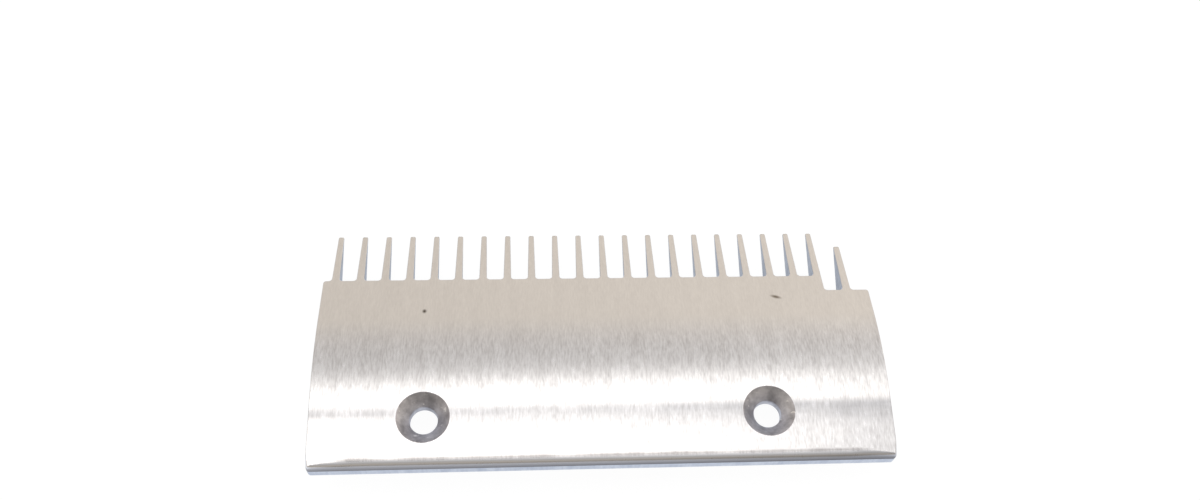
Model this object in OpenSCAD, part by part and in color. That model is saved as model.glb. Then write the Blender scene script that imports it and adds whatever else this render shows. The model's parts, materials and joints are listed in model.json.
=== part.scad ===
// Escalator comb plate: one die-cast segment of the comb that guards the
// slot where the moving steps run in under the floor.
// X runs along the row of teeth, Y points from the fixed rear edge to the
// tips, and Z points up. The origin lies midway between the two screw holes,
// on the seat under the flange. Depths are measured from the rear edge.

/* [Flange] */
// Thickness of the flange over its seat
flange_t = 8; // [7:0.1:10]
// Depth of the flat tread before it starts to slope
bend_start = 22; // [19:0.5:28]
// Rounding of the top edge along the rear
rear_edge_r = 2.8; // [0.5:0.1:4]
// Rounding of the two rear corners, seen from above
rear_corner_r = 1; // [0.5:0.1:4]
// How far the middle of the plate lies to the right of the screw holes
plate_shift = 2.5; // [-10:0.1:10]

/* [Screw holes] */
// Distance between the two screw holes
hole_spacing = 121; // [100:0.5:135]
// Distance of the screw holes from the rear edge
hole_inset = 17.6; // [13:0.1:20]
// Diameter of the screw holes
hole_d = 9.8; // [6:0.1:12]
// Diameter of the countersinks at the tread
sink_d = 18.5; // [14:0.1:20]
// Full angle of the countersinks
sink_angle = 90; // [82:1:100]

/* [Tread] */
// Radius of the bend from the flat tread to the slope
bend_r = 101.6; // [85:0.1:120]
// Angle of the slope
slope = 20.2; // [16:0.1:22]
// Thickness of the plate above the gullets
skin_t = 4; // [3:0.1:5]
// Depth from the rear edge to the roots of the gaps
root_depth = 75.2; // [70:0.1:78]
// Rounding of the two front corners, seen from above
front_corner_r = 1; // [0.5:0.1:3]
// Fillet at the root of each gap, beside the teeth
root_fillet_r = 1.2; // [0.4:0.1:2]

/* [Heel] */
// Depth at which the thick heel starts behind the fins
heel_start = 37; // [32:0.5:40]
// How far the heel reaches below the seat
heel_drop = 7; // [4:0.1:9]
// Rounding of the heel's rear edge
heel_edge_r = 1.5; // [0.5:0.1:3]
// Depth of the pointed rear end of each gullet
gullet_apex = 53.8; // [50:0.1:60]

/* [Teeth] */
// Number of teeth
tooth_count = 22; // [20:1:26]
// Distance from one tooth to the next
tooth_pitch = 9.07; // [8.5:0.01:10]
// Distance of the first tooth from the left end
first_inset = 4.4; // [3:0.1:8]
// Length of a tooth in front of its root
tooth_len = 21.8; // [14:0.1:24]
// Width of a tooth at the tread, at its root
tooth_top_w = 2.85; // [2.2:0.05:3.4]
// Width of the ridge under a tooth
ridge_w = 1.8; // [1.4:0.05:2.1]
// How far the ridge lies below the seat
ridge_drop = 16; // [15:0.1:20]
// Depth at which the ridge leaves the heel
ridge_start = 46; // [44:0.1:48]
// Depth at which the ridge is fully down
ridge_full = 67; // [62:0.1:69]
// Slope of the flanks beside the rear of the ridge
flank_angle = 45; // [35:1:50]
// Depth at which the flared root of a fin has run out
flare_end = 68; // [64:0.1:70]
// Height of a tooth's end, under which its underside has risen from the ridge
tip_h = 1.1; // [0.8:0.1:3]
// Rounding under the tip
tip_r = 0.6; // [0.2:0.1:0.8]

/* [End tooth] */
// How far the last tooth stands further along the row
end_shift = 1; // [0:0.1:3]
// How far the last tooth and its part of the edge are set back
end_setback = 7.1; // [1:0.1:8]
// How far the root of the last fin is set back
end_root_setback = 4.5; // [1:0.1:5]
// Distance of the last tooth from the right end
end_margin = 8.2; // [6:0.1:10]

/* [Ejector marks] */
// Diameter of the round marks on the seat
mark_d = 8.7; // [6:0.1:10]
// Depth of the marks
mark_sink = 0.3; // [0.1:0.05:0.5]
// Distance of the outer marks from the ends
mark_inset = 17.4; // [12:0.1:22]
// Distance of the inner marks from the screw holes
mark_from_hole = 20.5; // [16:0.1:30]

/* [Small marks in the gullets] */
// First gullet with a small mark and a rib
first_marked = 2; // [1:1:3]
// From one marked gullet to the next
marked_step = 3; // [2:1:4]
// Diameter of the small marks
small_mark_d = 3.7; // [3:0.1:4.2]
// Distance of the small marks' middles from the front edge
small_mark_inset = 5.2; // [4:0.1:6]
// Width of the rib that leads from the heel to the mark
rib_w = 1.1; // [0.8:0.1:1.5]

/* [Hidden] */
$fn = 96;
// Extra length by which a cutter passes the surface that it opens
over = 1;
// Height of the prisms that carry a plan outline
tall = 2 * (flange_t + ridge_drop);
plate_w = first_inset + (tooth_count - 1) * tooth_pitch + end_shift + end_margin;
left_x = plate_shift - plate_w / 2;
right_x = left_x + plate_w;
heel_z = -heel_drop;
ridge_z = -ridge_drop;
bend_end = bend_start + bend_r * sin(slope);
end_root = root_depth - end_setback;
end_apex = gullet_apex - end_root_setback;
end_flare = flare_end - end_root_setback;
tooth_half = tooth_top_w / 2;
ridge_half = ridge_w / 2;
// The left front corner leaves room for the root fillet of the first tooth
left_corner_r = min(front_corner_r, first_inset - tooth_half - root_fillet_r);
small_mark_depth = root_depth - small_mark_inset;
// Widening of a tooth's half width for each millimetre upwards
draft = (tooth_half - ridge_half) / (top_z(root_depth) - ridge_z);

function tooth_name(i) = str("tooth_", i < 10 ? "0" : "", i);

// Y of a point that lies this deep in front of the rear edge
function y_at(depth) = depth - hole_inset;

// Height of the tread at this depth
function top_z(depth) =
    depth <= bend_start ? flange_t
    : depth <= bend_end
        ? flange_t - bend_r + sqrt(pow(bend_r, 2) - pow(depth - bend_start, 2))
    : flange_t - bend_r * (1 - cos(slope)) - (depth - bend_end) * tan(slope);

function is_end(i) = i == tooth_count;

// Where tooth i stands, and where the edge lies at its root
function tooth_x(i) = left_x + first_inset + (i - 1) * tooth_pitch + (is_end(i) ? end_shift : 0);
function root_of(i) = is_end(i) ? end_root : root_depth;
function gap_mid(i) = (tooth_x(i) + tooth_x(i + 1)) / 2;

// The gap beside tooth i, where side is -1 on its left and 1 on its right
function beside_end(i, side) = is_end(i) || (i == tooth_count - 1 && side > 0);
function gap_root(i, side) = beside_end(i, side) ? end_root : root_depth;
function gap_apex(i, side) = beside_end(i, side) ? end_apex : gullet_apex;
function gap_flare(i, side) = beside_end(i, side) ? end_flare : flare_end;
function gap_half(i, side) =
    side < 0
        ? (i == 1 ? first_inset : (tooth_x(i) - tooth_x(i - 1)) / 2)
        : (is_end(i) ? end_margin : (tooth_x(i + 1) - tooth_x(i)) / 2);

// Extrudes an outline in Y and Z along X, from x0 to x1
module along_x(x0, x1) {
    translate([x0, 0, 0])
        rotate([90, 0, 90])
            linear_extrude(x1 - x0)
                children();
}

// Extrudes an outline in X and Z along Y, from y0 to y1
module along_y(y0, y1) {
    translate([0, y1, 0])
        rotate([90, 0, 0])
            linear_extrude(y1 - y0)
                children();
}

// Extrudes a plan outline through the whole height
module through_z() {
    translate([0, 0, -tall / 2])
        linear_extrude(tall)
            children();
}

// What a round corner takes off: its tip is at the origin, its body in +X and +Y
module corner_cut(r) {
    difference() {
        translate([-over, -over])
            square(r + over);
        translate([r, r])
            circle(r);
        translate([r, -2 * over])
            square([r, r + 2 * over]);
    }
}

// Side outline of all that lies at least t under the tread: flat, bend and slope
module under_tread(t) {
    reach = tall + root_depth + tooth_len - bend_end;
    translate([y_at(0), -tall])
        square([bend_start, tall + flange_t - t]);
    translate([y_at(bend_start), flange_t - bend_r])
        circle(bend_r - t);
    translate([y_at(bend_end), top_z(bend_end)])
        rotate(-slope)
            translate([0, -t - tall])
                square([reach, tall]);
}

// Side outline of the flange, whose top starts to bend at its front
module flange_side() {
    difference() {
        intersection() {
            translate([y_at(0), 0])
                square([heel_start, flange_t]);
            under_tread(0);
        }
        translate([y_at(0), flange_t])
            mirror([0, 1])
                corner_cut(rear_edge_r);
    }
}

// Plan outline of the flange, with rounded rear corners
module flange_plan() {
    difference() {
        translate([left_x, y_at(0)])
            square([plate_w, heel_start]);
        translate([left_x, y_at(0)])
            corner_cut(rear_corner_r);
        translate([right_x, y_at(0)])
            mirror([1, 0])
                corner_cut(rear_corner_r);
    }
}

module screw_hole() {
    sink_depth = (sink_d - hole_d) / 2 / tan(sink_angle / 2);
    translate([0, 0, -over])
        cylinder(h = flange_t + 2 * over, d = hole_d);
    translate([0, 0, flange_t - sink_depth])
        cylinder(h = sink_depth, d1 = hole_d, d2 = sink_d);
    translate([0, 0, flange_t])
        cylinder(h = over, d = sink_d);
}

module mounting_flange() {
    marks = [
        left_x + mark_inset,
        -hole_spacing / 2 + mark_from_hole,
        hole_spacing / 2 - mark_from_hole,
        right_x - mark_inset
    ];
    color("silver")
    difference() {
        intersection() {
            along_x(left_x, right_x)
                flange_side();
            through_z()
                flange_plan();
        }
        for (side = [-1, 1])
            translate([side * hole_spacing / 2, 0, 0])
                screw_hole();
        for (x = marks)
            translate([x, 0, -over])
                cylinder(h = mark_sink + over, d = mark_d);
    }
}

// Plan fillet between the front edge and one side of tooth i
module root_fillet(i, side) {
    translate([tooth_x(i), y_at(gap_root(i, side))])
        mirror([side < 0 ? 1 : 0, 0])
            difference() {
                square([tooth_half + root_fillet_r, root_fillet_r]);
                translate([tooth_half + root_fillet_r, root_fillet_r])
                    circle(root_fillet_r);
            }
}

// Plan outline of the sloping plate: its edge steps back beside the last tooth
module ramp_plan() {
    step_x = tooth_x(tooth_count - 1) + tooth_half;
    difference() {
        translate([left_x, y_at(heel_start)])
            square([step_x - left_x, root_depth - heel_start]);
        translate([left_x, y_at(root_depth)])
            mirror([0, 1])
                corner_cut(left_corner_r);
    }
    difference() {
        translate([step_x - over, y_at(heel_start)])
            square([right_x - step_x + over, end_root - heel_start]);
        translate([right_x, y_at(end_root)])
            mirror([1, 1])
                mirror([1, -1])
                    corner_cut(front_corner_r);
    }
    for (i = [1:tooth_count])
        for (side = [-1, 1])
            root_fillet(i, side);
}

// The drafted bar that tooth i is cut from, from one depth to another
module tooth_bar(i, from_depth, to_depth) {
    rise = flange_t - ridge_z;
    high = ridge_half + draft * rise;
    translate([tooth_x(i), 0, ridge_z])
        along_y(y_at(from_depth), y_at(to_depth))
            polygon([[-ridge_half, 0], [ridge_half, 0], [high, rise], [-high, rise]]);
}

// Plan outline of gullet i between the flared walls of its two fins
module gullet_plan(i) {
    half = gap_half(i, 1) - ridge_half;
    polygon([
        [0, y_at(gap_apex(i, 1))],
        [half, y_at(gap_flare(i, 1))],
        [half, y_at(gap_root(i, 1))],
        [-half, y_at(gap_root(i, 1))],
        [-half, y_at(gap_flare(i, 1))]
    ]);
}

// Rib in gullet i, level with the heel, from the apex to the small mark
module gullet_rib(i) {
    length = small_mark_depth - gap_apex(i, 1);
    translate([gap_mid(i), 0])
        intersection() {
            along_x(-rib_w / 2, rib_w / 2)
                intersection() {
                    translate([y_at(gap_apex(i, 1)), heel_z])
                        square([length, tall]);
                    under_tread(skin_t / 2);
                }
            through_z()
                gullet_plan(i);
        }
}

module tread_ramp() {
    marked = [first_marked:marked_step:tooth_count - 2];
    // The small marks are level, so they cut deeper towards the front edge
    mark_rear = small_mark_depth - small_mark_d / 2;
    mark_z = top_z(mark_rear) - skin_t / cos(slope) + mark_sink;
    color("silver")
    difference() {
        union() {
            intersection() {
                along_x(left_x, right_x)
                    difference() {
                        under_tread(0);
                        under_tread(skin_t);
                    }
                through_z()
                    ramp_plan();
            }
            for (i = marked)
                gullet_rib(i);
        }
        for (i = marked)
            translate([gap_mid(i), y_at(small_mark_depth), mark_z - tall])
                cylinder(h = tall, d = small_mark_d);
        for (i = [1:tooth_count])
            tooth_bar(i, root_of(i), root_of(i) + tooth_len);
    }
}

// Plan outline of the heel: it steps back where the last gullet starts earlier
module heel_plan() {
    near = tooth_count - 1;
    near_x = tooth_x(near);
    half = gap_half(near, 1);
    run_out = (gullet_apex - end_apex) / (end_flare - end_apex);
    wall_x = near_x + half - (half - ridge_half) * run_out;
    polygon([
        [left_x, y_at(heel_start)],
        [right_x, y_at(heel_start)],
        [right_x, y_at(end_apex)],
        [near_x + half, y_at(end_apex)],
        [wall_x, y_at(gullet_apex)],
        [left_x, y_at(gullet_apex)]
    ]);
}

module heel_bar() {
    color("darkgray")
    intersection() {
        along_x(left_x, right_x)
            difference() {
                intersection() {
                    translate([y_at(heel_start), heel_z])
                        square([gullet_apex - heel_start, tall]);
                    under_tread(skin_t);
                }
                translate([y_at(heel_start), heel_z])
                    corner_cut(heel_edge_r);
            }
        through_z()
            heel_plan();
    }
}

// Side outline of tooth i, with its fin under the plate and before the heel
module tooth_side(i) {
    setback = is_end(i) ? end_root_setback : 0;
    root = root_of(i);
    tip = root + tooth_len;
    apex = gullet_apex - setback;
    intersection() {
        polygon([
            [y_at(ridge_start - setback), heel_z],
            [y_at(ridge_full - setback), ridge_z],
            [y_at(root), ridge_z],
            [y_at(root), flange_t],
            [y_at(apex), flange_t],
            [y_at(apex), heel_z]
        ]);
        under_tread(skin_t);
    }
    intersection() {
        hull() {
            translate([y_at(root), ridge_z])
                square([over, tall]);
            translate([y_at(tip) - tip_r, top_z(tip) - tip_h + tip_r])
                circle(tip_r);
            translate([y_at(tip) - over, flange_t])
                square(over);
        }
        under_tread(0);
    }
}

// Plan outline of the flared root of fin i, out to the middles of its gullets
module flare_plan(i) {
    rear = ridge_start - (is_end(i) ? end_root_setback : 0);
    translate([tooth_x(i), 0])
        polygon([
            [-gap_half(i, -1), y_at(rear)],
            [gap_half(i, 1), y_at(rear)],
            [gap_half(i, 1), y_at(gap_apex(i, 1))],
            [ridge_half, y_at(gap_flare(i, 1))],
            [-ridge_half, y_at(gap_flare(i, -1))],
            [-gap_half(i, -1), y_at(gap_apex(i, -1))]
        ]);
}

// Roof-shaped prism along the sloping ridge of fin i: its two flanks open upwards
module flank_roof(i) {
    setback = is_end(i) ? end_root_setback : 0;
    fall = atan((ridge_drop - heel_drop) / (ridge_full - ridge_start));
    spread = ridge_half + tall * tan(flank_angle);
    translate([tooth_x(i), y_at(ridge_start - setback), heel_z])
        rotate([-fall, 0, 0])
            along_y(-tall / 2, 2 * tall)
                polygon([[-ridge_half, 0], [ridge_half, 0], [spread, tall], [-spread, tall]]);
}

module tooth(i) {
    color("lightgray")
    intersection() {
        along_x(tooth_x(i) - gap_half(i, -1), tooth_x(i) + gap_half(i, 1))
            tooth_side(i);
        flank_roof(i);
        union() {
            tooth_bar(i, ridge_start - end_root_setback, root_of(i) + tooth_len);
            through_z()
                flare_plan(i);
        }
    }
}

mounting_flange();
tread_ramp();
heel_bar();
for (i = [1:tooth_count])
    tooth(i);
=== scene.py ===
# %% [markdown]
# An escalator comb plate
#
# This lesson dresses a finished CAD model of an escalator comb plate. The real plate is one
# aluminium die-casting. Its tread, the side that feet cross, is ground and brushed, and its
# underside keeps the grey skin of the mould. The CAD model gives every size and place, so the
# lesson starts by loading it. Lengths are worked out in millimetres, because a maker thinks in
# them, and turned to Blender's metres when a mesh is made.

import json
import math

import bmesh
import bpy
import numpy as np
from mathutils import Matrix, Quaternion, Vector
from mathutils.geometry import delaunay_2d_cdt


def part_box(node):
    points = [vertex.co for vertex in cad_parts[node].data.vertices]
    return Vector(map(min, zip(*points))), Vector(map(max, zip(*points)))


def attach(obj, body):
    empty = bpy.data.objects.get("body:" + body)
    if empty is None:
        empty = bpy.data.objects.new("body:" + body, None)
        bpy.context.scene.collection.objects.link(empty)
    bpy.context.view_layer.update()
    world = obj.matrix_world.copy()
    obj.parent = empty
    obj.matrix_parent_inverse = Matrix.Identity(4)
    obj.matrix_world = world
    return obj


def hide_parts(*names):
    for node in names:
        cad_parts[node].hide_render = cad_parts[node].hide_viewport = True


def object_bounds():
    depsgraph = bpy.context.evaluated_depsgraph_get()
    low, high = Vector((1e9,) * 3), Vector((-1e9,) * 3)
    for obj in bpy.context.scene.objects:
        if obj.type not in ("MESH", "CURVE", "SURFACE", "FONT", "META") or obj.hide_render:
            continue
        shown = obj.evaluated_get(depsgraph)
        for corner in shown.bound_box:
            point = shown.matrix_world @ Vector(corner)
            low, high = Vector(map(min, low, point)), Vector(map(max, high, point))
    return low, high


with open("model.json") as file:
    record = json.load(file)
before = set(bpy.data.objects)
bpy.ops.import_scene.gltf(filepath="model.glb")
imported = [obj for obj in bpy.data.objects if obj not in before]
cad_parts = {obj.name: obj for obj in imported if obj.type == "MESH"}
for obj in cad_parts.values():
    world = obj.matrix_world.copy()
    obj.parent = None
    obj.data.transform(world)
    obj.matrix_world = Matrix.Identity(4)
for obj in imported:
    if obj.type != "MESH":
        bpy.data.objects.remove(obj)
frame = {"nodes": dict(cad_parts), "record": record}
cad_box = [list(corner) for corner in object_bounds()]
MM = 0.001
print("CAD nodes:", len(frame["nodes"]), "box in metres:", cad_box)

# %% [markdown]
# Sizes
#
# The sizes come from the boxes of the CAD nodes wherever a box shows them. The others are
# driving sizes of the CAD model, and each is said again where it is first needed. Depth is the
# distance from the rear edge towards the tips of the teeth, because the plate's side outline
# depends on nothing else.

# %% Read the sizes from the boxes
def box_mm(node):
    """Lowest and highest corner of a CAD node, in millimetres."""
    return [np.array(corner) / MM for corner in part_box(node)]


flange_low, flange_high = box_mm("mounting_flange")
left_x, right_x = flange_low[0], flange_high[0]
rear_y = flange_low[1]
flange_t = flange_high[2]
heel_start = flange_high[1] - rear_y
heel_z = box_mm("heel_bar")[0][2]
tooth_names = sorted(name for name in frame["nodes"] if name.startswith("tooth_"))
tooth_count = len(tooth_names)
ridge_z = box_mm(tooth_names[1])[0][2]
middle_teeth = [sum(box_mm(name))[0] / 2 for name in tooth_names[1:-2]]
pitch = (middle_teeth[-1] - middle_teeth[0]) / (len(middle_teeth) - 1)
tooth_x = middle_teeth[0] + pitch * (np.arange(tooth_count) - 1)
# The last tooth is further away: its flare starts in the middle of the gap beside it.
tooth_x[-1] = 2 * box_mm(tooth_names[-1])[0][0] - tooth_x[-2]
tip_depth = [box_mm(name)[1][1] - rear_y for name in tooth_names]
screws = frame["record"]["mounts"][0]["dims"]
hole_x = np.array([-0.5, 0.5]) * screws["spacing_x_mm"]
hole_r = screws["hole_r_mm"]
print(f"{tooth_count} teeth, {pitch:.2f} mm apart, over {right_x - left_x:.1f} mm")

# %% The side outline: a flat part, a bend and a slope
bend_start, bend_r, slope, skin_t = 22.0, 101.6, math.radians(20.2), 4.0
bend_end = bend_start + bend_r * math.sin(slope)


def top_z(depth):
    """Height of the tread: flat, then an arc of bend_r, then its tangent at the slope."""
    run = np.clip(depth - bend_start, 0, bend_end - bend_start)
    bend = flange_t - bend_r + np.sqrt(bend_r**2 - run**2)
    return bend - np.maximum(depth - bend_end, 0) * math.tan(slope)


def tread_angle(depth):
    """Angle of the tread at a depth, in radians: the arc sine of the run over the radius."""
    run = np.clip(depth - bend_start, 0, bend_end - bend_start)
    return np.arcsin(run / bend_r)


def under_z(depth):
    """Height of the plate's underside: the same outline, skin_t further in."""
    inner_r = bend_r - skin_t
    run = np.clip(depth - bend_start, 0, inner_r * math.sin(slope))
    bend = flange_t - bend_r + np.sqrt(inner_r**2 - run**2)
    past = np.maximum(depth - bend_start - inner_r * math.sin(slope), 0)
    return bend - past * math.tan(slope)


print("the bend runs from", bend_start, "to", round(bend_end, 2), "mm")

# %% The width of a tooth
tooth_len, tooth_top_half, ridge_half = 21.8, 1.425, 0.9
root_of = np.array(tip_depth) - tooth_len
draft = (tooth_top_half - ridge_half) / (top_z(root_of[0]) - ridge_z)


def tooth_half(z):
    """Half the width of a tooth or fin at a height: half the ridge, and the draft times the
    height over the ridge. It narrows downwards, so the casting leaves its mould."""
    return ridge_half + draft * (z - ridge_z)


print("tread at the roots:", round(float(top_z(root_of[0])), 2), "mm high")

# %% [markdown]
# A surface over two parameters
#
# Nearly every piece here is a grid of points: one parameter runs along the piece and the other
# runs round its cross-section. Numpy works out all the points at once. Every cell of the grid
# then becomes two triangles, and points that fall on the same place are merged, so that the
# grids of one piece close into one skin.

# %% Grids, and triangles between them
# The gullets' finish is a darker copy of the cast skin: painted shade.
# The wall finish is painted lighter and bluish, a painted reflection, and the sides' finish darker
# with painted shade.
TREAD, CAST, CONE, WALL, SHADED_SIDE, SHADED_GULLET = range(6)
longest_cut, tiny = 0.45, 1e-9


def grid(points, finish=CAST):
    """A grid of points as a patch: its points, two triangles for each cell, and its finish."""
    rows, cols = points.shape[:2]
    at = np.arange(rows * cols).reshape(rows, cols)
    a, b, c, d = at[:-1, :-1], at[1:, :-1], at[1:, 1:], at[:-1, 1:]
    cells = np.stack([a, b, c, a, c, d], axis=-1).reshape(-1, 3)
    return points.reshape(-1, 3), cells, np.full(len(cells), finish)


def round_steps(count=4):
    """Sines and cosines of equal steps through a quarter turn."""
    turn = np.linspace(0, math.pi / 2, count + 1)
    return np.sin(turn), np.cos(turn)


def soft_corner(before, corner, after, cut, count=3):
    """A quadratic Bezier curve from one edge to the next. It starts and ends at the distance
    cut from the corner, or at the share longest_cut of an edge that is too short for it."""
    back, ahead = before - corner, after - corner
    long_back = np.linalg.norm(back, axis=-1, keepdims=True)
    long_ahead = np.linalg.norm(ahead, axis=-1, keepdims=True)
    start = corner + back * np.minimum(longest_cut, cut / np.maximum(long_back, tiny))
    end = corner + ahead * np.minimum(longest_cut, cut / np.maximum(long_ahead, tiny))
    t = np.linspace(0, 1, count + 1)[:, None]
    return ((1 - t) ** 2 * start[..., None, :] + 2 * t * (1 - t) * corner[..., None, :]
            + t**2 * end[..., None, :])


print("a patch of 3 by 3 points has", len(grid(np.zeros((3, 3, 3)))[1]), "triangles")

# %% [markdown]
# Lids with holes
#
# A lid with holes in it has no rows and columns, so a grid can't make it. Its outline, its holes
# and some loose points inside go to a Delaunay triangulation instead, which joins neighbours and
# keeps every edge of the outline. Height follows from depth, because the plate bends one way
# only.

# %% Lids over an outline with holes
same_point, repeat_gap = 1e-7, 1e-4


def inside(places, starts, ends):
    """A place is inside when a ray from it along X crosses the loops an odd number of times."""
    x, y = places[:, :1], places[:, 1:2]
    ax, ay, bx, by = starts[:, 0], starts[:, 1], ends[:, 0], ends[:, 1]
    height = np.where(by == ay, 1, by - ay)
    crossed = ((ay > y) != (by > y)) & (x < (bx - ax) * (y - ay) / height + ax)
    return crossed.sum(axis=1) % 2 == 1


def fill(loops, inner, height, finish=CAST):
    """Triangles over the plan between the first loop and the others, which are holes. Loop
    points keep their own height, and the inner points get theirs from their depth."""
    after = np.concatenate([np.roll(loop, -1, axis=0) for loop in loops])
    border = np.concatenate(loops)
    ends = np.cumsum([0] + [len(loop) for loop in loops])
    order = np.concatenate([np.roll(np.arange(a, b), -1) for a, b in zip(ends[:-1], ends[1:])])
    edges = np.stack([np.arange(len(border)), order], axis=1)
    points = border
    if len(inner):
        points = np.concatenate([border, np.column_stack([inner, height(inner[:, 1])])])
    _, _, faces, origin, _, _ = delaunay_2d_cdt(
        points[:, :2].tolist(), edges.tolist(), [], 0, same_point, True)
    # The result has points of its own, and origin says which given point each one came from.
    cells = np.array([near[0] for near in origin])[np.array(faces)]
    cells = cells[inside(points[cells, :2].mean(axis=1), border, after)]
    return points, cells, np.full(len(cells), finish)


def without_repeats(loop):
    """The loop with each point that repeats the one before it left out."""
    apart = np.linalg.norm(loop - np.roll(loop, 1, axis=0), axis=1) > repeat_gap
    return loop[apart]


square = np.array([(0, 0, 0), (1, 0, 0), (1, 1, 0), (0, 1, 0)], dtype=float)
print("a square lid has", len(fill([square], [], top_z)[1]), "triangles")

# %% Loose points inside a lid
def scatter(x_from, x_to, depth_from, depth_to, step=(3.0, 1.5)):
    """Loose points in offset rows. The rows are close together across the bend."""
    rows = np.arange(depth_from, depth_to, step[1])
    cols = np.arange(x_from, x_to, step[0])
    x, depth = np.meshgrid(cols, rows)
    x = x + (np.arange(len(rows))[:, None] % 2) * step[0] / 2
    return np.column_stack([x.ravel(), depth.ravel()])


def away_from(points, centres, reach):
    """The points that lie further than reach from every centre."""
    far = np.linalg.norm(points[:, None] - np.array(centres)[None], axis=2) > reach
    return points[far.all(axis=1)]


print("loose points on 30 by 30 mm:", len(scatter(0, 30, 0, 30)))

# %% [markdown]
# Edges and normals
#
# A casting catches light along its edges because they are slightly round, so the meshes are
# round there too. A renderer bends light by the normals at the corners of each face. Here each
# corner's normal is the mean of the faces round its point, weighted by their area, but only of
# faces within 40 degrees of its own. Large flat faces then stay flat and small roundings turn
# smoothly. On the tread the normal comes straight from the outline's formula, so no seam
# shows between two pieces that share the bend.

# %% Normals at the corners of the faces
def corner_normals(points, cells, crease=40.0):
    """Area-weighted mean of the face normals round each corner's point, without the faces
    that turn by more than the crease angle."""
    a, b, c = (points[cells[:, k]] for k in range(3))
    wide = np.cross(b - a, c - a)
    flat = wide / np.maximum(np.linalg.norm(wide, axis=1, keepdims=True), tiny)
    # Pair every corner with each face round its point, then add up the faces that are near.
    vertex = cells.ravel()
    face = np.repeat(np.arange(len(cells)), 3)
    order = np.argsort(vertex, kind="stable")
    count = np.bincount(vertex, minlength=len(points))
    first_at = np.cumsum(count) - count
    repeats = count[vertex]
    one = np.repeat(np.arange(len(vertex)), repeats)
    step = np.arange(repeats.sum()) - np.repeat(np.cumsum(repeats) - repeats, repeats)
    other = face[order[first_at[vertex[one]] + step]]
    near = (flat[face[one]] * flat[other]).sum(axis=1) > math.cos(math.radians(crease))
    total = np.stack([np.bincount(one[near], weights=wide[other[near], k], minlength=len(vertex))
                      for k in range(3)], axis=1)
    return total / np.maximum(np.linalg.norm(total, axis=1, keepdims=True), tiny), flat[face]


print("normal of half the square:", corner_normals(square, np.array([[0, 1, 2]]))[0][0])

# %% Normals of a piece
near_tread, near_formula = 2e-3, 0.995


def set_normals(mesh, points):
    """Gives every face corner its normal: the mean of the faces round it, or the sine and
    cosine of the outline's angle where both the place and the face are near the tread."""
    order = np.empty(len(mesh.loops), dtype=np.int32)
    mesh.loops.foreach_get("vertex_index", order)
    normals, flat = corner_normals(points, order.reshape(-1, 3))
    angle = tread_angle(points[:, 1])
    formula = np.column_stack([np.zeros(len(points)), np.sin(angle), np.cos(angle)])[order]
    on_tread = (np.abs(points[:, 2] - top_z(points[:, 1]))[order] < near_tread) & (
        (flat * formula).sum(axis=1) > near_formula)
    normals[on_tread] = formula[on_tread]
    mesh.normals_split_custom_set(normals.tolist())


print("the tread is found to within", near_tread, "mm")

# %% One closed mesh from many patches
weld = 2e-4


def joined(patches):
    """Puts patches together: points in the same cube of side weld become one, and triangles
    that have no width are left out."""
    starts = np.cumsum([0] + [len(p[0]) for p in patches])
    points = np.concatenate([p[0] for p in patches])
    cells = np.concatenate([p[1] + start for p, start in zip(patches, starts)])
    finish = np.concatenate([p[2] for p in patches])
    _, kept, same = np.unique(np.round(points / weld).astype(np.int64), axis=0,
                              return_index=True, return_inverse=True)
    points, cells = points[kept], same.ravel()[cells]
    whole = (cells != np.roll(cells, 1, axis=1)).all(axis=1)
    return points, cells[whole], finish[whole]


def open_edges(cells):
    """The number of edges that don't lie between exactly two triangles."""
    edges = np.sort(np.concatenate([cells[:, [0, 1]], cells[:, [1, 2]], cells[:, [2, 0]]]), axis=1)
    return int((np.unique(edges, axis=0, return_counts=True)[1] != 2).sum())


print("a single triangle has", open_edges(np.array([[0, 1, 2]])), "open edges")

# %% A finished piece
def make_piece(name, patches, replaced):
    """Joins patches in (x, depth, z) millimetres into one closed mesh in metres, with its
    faces outwards, and hides the CAD node that it stands for."""
    points, cells, finish = joined(patches)
    mesh = bpy.data.meshes.new(name)
    placed = (points + np.array([0, rear_y, 0])) * MM
    mesh.from_pydata(placed.tolist(), [], cells.tolist(), shade_flat=False)
    mesh.polygons.foreach_set("material_index", finish.astype(np.int32))
    work = bmesh.new()
    work.from_mesh(mesh)
    bmesh.ops.recalc_face_normals(work, faces=work.faces)
    if work.calc_volume(signed=True) < 0:
        bmesh.ops.reverse_faces(work, faces=work.faces)
    work.to_mesh(mesh)
    work.free()
    set_normals(mesh, points)
    piece = bpy.data.objects.new(name, mesh)
    bpy.context.scene.collection.objects.link(piece)
    for material in finishes:
        mesh.materials.append(material)
    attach(piece, "root")
    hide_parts(replaced)
    print(f"{name}: {len(points)} points, {len(cells)} triangles, {open_edges(cells)} open edges")


print("CAD nodes to replace:", len(frame["nodes"]))

# %% [markdown]
# Finishes
#
# A material is a small graph of nodes. One function adds any node: it sets the node's options
# and gives each input a value, or joins it to another node. A second function turns the hex
# colours that a designer writes into linear light, which the renderer counts with. All the
# finishes are built up in the same way. Noise with cells of a real size says how strong a mark
# is at each place, and the marks are laid on the bare metal's colour one after another.

# %% Colours and nodes
def linear(code):
    """An sRGB hex colour as linear light: a short straight foot, then a power of 2.4."""
    c = np.array([int(code[k:k + 2], 16) for k in (1, 3, 5)]) / 255
    return (*np.where(c < 0.04045, c / 12.92, ((c + 0.055) / 1.055) ** 2.4), 1.0)


def add(tree, kind, inputs=None, **options):
    """Adds one node. An input takes a value, a socket, or the result of another node."""
    node = tree.nodes.new("ShaderNode" + kind)
    for key, value in options.items():
        setattr(node, key, value)
    for key, value in (inputs or {}).items():
        if isinstance(value, bpy.types.Node):
            value = next(socket for socket in value.outputs if socket.enabled)
        if isinstance(value, bpy.types.NodeSocket):
            tree.links.new(value, node.inputs[key])
        else:
            node.inputs[key].default_value = value
    return node


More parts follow.
